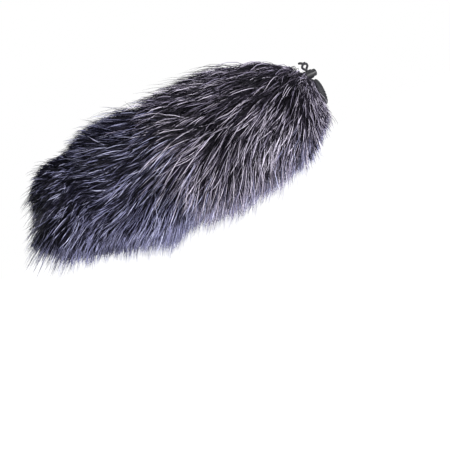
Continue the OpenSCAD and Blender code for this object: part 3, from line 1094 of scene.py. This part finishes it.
def add_stitches():
    collar_thread = thread_material("collar_thread", (0.02, 0.02, 0.023), (0.08, 0.08, 0.09))
    seam_thread = thread_material("seam_thread", (0.012, 0.012, 0.015), (0.05, 0.05, 0.06))
    r = BAND_R + THREAD_R
    pitch = 360 / COLLAR_STITCHES
    dips = (0.42 * MM, 0, 0, 0, 0.42 * MM)
    for node in ("collar_thread_front", "collar_thread_rear"):
        low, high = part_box(node)
        y = (low.y + high.y) / 2
        stitches = []
        for i in range(COLLAR_STITCHES):
            points = []
            for t, dip in zip(ALONG_STITCH, dips):
                f = math.radians(i * pitch + pitch * 0.6 * t)
                points.append(((r - dip) * math.cos(f), y, (r - dip) * math.sin(f)))
            stitches.append(stitch_on(points))
        new_piece(f"{node}_ply", joined(stitches), collar_thread, "thread", node)

    low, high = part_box("long_seam_thread")
    z = (low.z + high.z) / 2
    across = (-1, -0.6, 0, 0.6, 1)
    heights = (0.3 * MM, 0, -0.05 * MM, 0, 0.3 * MM)
    stitches = []
    for i in range(round((high.y - low.y + SEAM_PITCH - SEAM_STITCH) / SEAM_PITCH)):
        start = high.y - i * SEAM_PITCH
        stitches.append(stitch_on([
            (SEAM_SLANT * x, start - t * SEAM_STITCH, z + up) for t, x, up in zip(ALONG_STITCH, across, heights)
        ]))
    new_piece("long_seam_ply", joined(stitches), seam_thread, "thread", "long_seam_thread")

    low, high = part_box("nose_seam_thread")
    middle = Vector((0, (low.y + high.y) / 2, 0))
    dips = (0.3 * MM, 0, 0, 0, 0.3 * MM)
    stitches = []
    for i in range(NOSE_STITCHES):
        f = 2 * math.pi * i / NOSE_STITCHES
        out = Vector((math.sin(f), 0, math.cos(f)))
        stitches.append(stitch_on([
            tuple(middle + Vector((0, SEAM_STITCH * (0.5 - t), 0)) + out * (high.z - THREAD_R - dip))
            for t, dip in zip(ALONG_STITCH, dips)
        ]))
    new_piece("nose_seam_ply", joined(stitches), seam_thread, "thread", "nose_seam_thread")


BUTTONHOLE_STITCHES = 74
SATIN_R = 0.15 * MM
# One satin stitch from the slot's edge out: shares of its length, and heights over the cloth in millimetres
SATIN_ARCH = ((0, -0.5), (0.06, 0.12), (0.35, 0.26), (0.7, 0.22), (1, -0.05))


def evenly(outline, count):
    """Places spread evenly along a closed outline."""
    closed = np.concatenate([outline, outline[:1]])
    run = np.concatenate([[0], np.cumsum(np.linalg.norm(np.diff(closed, axis=0), axis=1))])
    at = np.linspace(0, run[-1], count, endpoint=False)
    return np.stack([np.interp(at, run, closed[:, c]) for c in (0, 1)], 1)


def add_buttonhole():
    """Satin stitches side by side round the slot, each one over the cloth's edge."""
    count = BUTTONHOLE_STITCHES
    inner, outer = (evenly(slot_outline(edge * MM, 40), count) for edge in (-0.12, 0.85))
    reach = np.random.default_rng(41).uniform(0.86, 1.0, count)
    stitches = []
    for start, end, share in zip(inner, outer, reach):
        points = []
        for t, lift in SATIN_ARCH:
            x, y = start + (end - start) * t * share
            points.append((x, y - CHANNEL_AT, on_collar(x, y) + lift * MM))
        stitches.append(tube(spline(points, 3), SATIN_R, 6, ends=SATIN_R))
    thread = thread_material("buttonhole_thread", (0.012, 0.012, 0.014), (0.06, 0.06, 0.068), 0.6)
    new_piece("buttonhole_satin", joined(stitches), thread, "thread", "buttonhole_stitching")


# ---- Drawcord ----


def braid(angle, along):
    """A braided cover's relief: strands that cross on the cord's face."""
    turn, run = BRAID_STRANDS * angle, along * math.pi / BRAID_PITCH
    return 0.90 + 0.10 * np.maximum(np.abs(np.sin(turn + run)), np.abs(np.sin(turn - run)))


# Half of the loop's route from the channel's end to the knot, as distances from the top of
# the ring's centre line. The other half mirrors it across, and lies to the nose.
RISE = [(-4.4, 0, -0.8), (-3, 0, 0), (-1.8, 0, 1.5), (-1.2, 0, 3.6), (-1.2, 0, 7), (-1.2, 0, 10.6)]
LOOP_BACK = [(-1.5, 1.4, 12.6), (-1.3, 3, 14.6), (-0.6, 2.6, 16.6)]
LOOP_TOP = (0, 0.4, 17.4)
LOOP_NOSE = [(0.7, -1.8, 16.6), (1.4, -3, 14.6), (1.5, -1.8, 12.6)]
RING_TOP = np.array([0, -CHANNEL_AT, CHANNEL_R])

# The knot's size to a trefoil's, its tube's radius, and how far it lies over the loop's top
KNOT_SIZE = 0.40 * MM
KNOT_TUBE = 0.9 * MM
KNOT_UP = 0.3 * MM
TAIL_R = 1.0 * MM
# A tail's points: distances out along its own direction, and how far each has drooped and spread
TAIL = ((0.6, 0, 0), (2.4, 0, 0), (4, -0.1, 0), (5.9, -0.4, 0.2))


def knot_parts(centre):
    """The cord's two ends tied together over the loop's top, with short tails."""
    t = np.linspace(0, 2 * math.pi, 97)[:-1]
    turn = np.stack([np.sin(t) + 2 * np.sin(2 * t), np.cos(t) - 2 * np.cos(2 * t), -np.sin(3 * t) * 1.3], 1)
    parts = [tube(centre + [0, 0, KNOT_UP] + turn * KNOT_SIZE, KNOT_TUBE, 24, braid, closed=True)]
    for side in (-1, 1):
        way = np.array([side * 0.41, -0.77, 0.5])
        points = [centre + way * out * MM + [side * spread * MM, 0, droop * MM] for out, droop, spread in TAIL]
        parts.append(tube(spline(points, 10), TAIL_R, 24, braid, ends=0.7 * MM))
    return parts


def add_drawcord():
    cord = cord_material()
    fall = [(-x, y, z) for x, y, z in RISE[::-1]]
    route = np.array(RISE + LOOP_BACK + [LOOP_TOP] + LOOP_NOSE + fall) * MM + RING_TOP
    path = spline(route, 14)
    loop = new_piece("drawcord_free_loop", tube(path, CORD_R, 32, braid), cord, "cord", "drawcord_loop")
    knot = joined(knot_parts(RING_TOP + np.array(LOOP_TOP) * MM))
    knot = new_piece("drawcord_end_knot", knot, cord, "cord", "drawcord_knot")
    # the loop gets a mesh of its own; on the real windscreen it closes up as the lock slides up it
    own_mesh(loop)

    angle = np.linspace(CORD_OPEN, 2 * math.pi - CORD_OPEN, 260)
    y = np.full(len(angle), -CHANNEL_AT)
    ring = np.stack([CHANNEL_R * np.sin(angle), y, CHANNEL_R * np.cos(angle)], 1)
    new_piece("drawcord_in_channel", tube(ring, CORD_R, 24, braid), cord, "cord", "drawcord_channel")


# ---- Cord lock ----

SPRING_WIRE_R = 0.25 * MM
SPRING_TURNS = 6.5


def add_lock():
    body = plastic_material(
        "lock_body_plastic", (0.004, 0.004, 0.005), (0.010, 0.010, 0.012), (0.36, 0.52), 0.35
    )
    plunger = plastic_material(
        "lock_plunger_plastic", (0.005, 0.005, 0.006), (0.012, 0.012, 0.014), (0.22, 0.38), 0.15
    )
    for slot, material in (("lock_body", body), ("lock_plunger", plunger)):
        piece = frame["nodes"][f"cord_{slot}"]
        piece.data.materials.clear()
        piece.data.materials.append(material)

    low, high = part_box("cord_lock_spring")
    centre_z = (low.z + high.z) / 2
    coil_r = (high.z - low.z) / 2 - SPRING_WIRE_R
    start, end = low.y + SPRING_WIRE_R, high.y - SPRING_WIRE_R
    t = np.linspace(0, 1, 220)
    turns = 2 * math.pi * SPRING_TURNS * t
    # the coils lie close at both ends
    rise = ease(t, 0.06, 0.94) * 0.82 + 0.18 * t
    y = start + (end - start) * rise
    path = np.stack([coil_r * np.cos(turns), y, centre_z + coil_r * np.sin(turns)], 1)
    coil = tube(path, SPRING_WIRE_R, 12, ends=0.1 * MM)
    spring = new_piece("lock_coil_spring", coil, steel_material(), "spring", "cord_lock_spring", "cord_lock")
    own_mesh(spring)


add_drawcord()
add_lock()
add_collar()
add_buttonhole()
add_stitches()
add_backing()
add_lining()
add_foam()
add_fur()

# ---- Floor and light ----

COOL_WHITE = (0.92, 0.94, 1)


def add_stage():
    n = Nodes("floor_paint")
    n.set(Base_Color=(0.93, 0.93, 0.94, 1), Roughness=0.9)
    n.set(Emission_Color=(1, 1, 1, 1), Emission_Strength=0.9)
    mesh = mesh_of("floor", [(-8, -8, 0), (8, -8, 0), (8, 8, 0), (-8, 8, 0)], [(0, 1, 2, 3)])
    mesh.materials.append(n.material)
    floor = bpy.data.objects.new("floor", mesh)
    floor.location = (0, 0, -0.5)
    SCENE.collection.objects.link(floor)


def add_light(name, place, aim, size, power, colour=(1, 1, 1)):
    data = bpy.data.lights.new(name, "AREA")
    data.shape = "DISK"
    data.size = size
    data.energy = power
    data.color = colour
    light = bpy.data.objects.new(name, data)
    light.location = place
    light.rotation_euler = (Vector(aim) - Vector(place)).to_track_quat("-Z", "Y").to_euler()
    SCENE.collection.objects.link(light)


def add_world():
    """White for the camera, and a softer grey room for the light."""
    world = bpy.data.worlds.new("studio")
    world.use_nodes = True
    nodes, links = world.node_tree.nodes, world.node_tree.links
    nodes.clear()
    mix = nodes.new("ShaderNodeMixShader")
    links.new(nodes.new("ShaderNodeLightPath").outputs["Is Camera Ray"], mix.inputs[0])
    for socket, colour, strength in ((1, COOL_WHITE, 0.2), (2, (1, 1, 1), 1)):
        room = nodes.new("ShaderNodeBackground")
        room.inputs["Color"].default_value = (*colour, 1)
        room.inputs["Strength"].default_value = strength
        links.new(room.outputs[0], mix.inputs[socket])
    links.new(mix.outputs[0], nodes.new("ShaderNodeOutputWorld").inputs[0])
    SCENE.world = world


MIDDLE = Vector((0, -0.15, 0))
ROOM_UP = Vector(-GRAVITY)
ROOM_BACK = (SCENE.camera.matrix_world.to_3x3() @ Vector((0, 0, 1))).normalized()
ROOM_RIGHT = ROOM_UP.cross(ROOM_BACK)


def in_room(right, up, back):
    """A place in the camera's room, from the windscreen's middle."""
    return MIDDLE + ROOM_RIGHT * right + ROOM_UP * up + ROOM_BACK * back


add_stage()
add_light("key", in_room(0.9, 0.35, 1.2), MIDDLE, 0.35, 52)
add_light("top", in_room(0.1, 1.3, 0.1), MIDDLE, 0.7, 8)
add_light("back", in_room(-0.8, 0.3, -0.9), MIDDLE, 0.8, 12, COOL_WHITE)
add_world()
SCENE.view_settings.view_transform = "Standard"
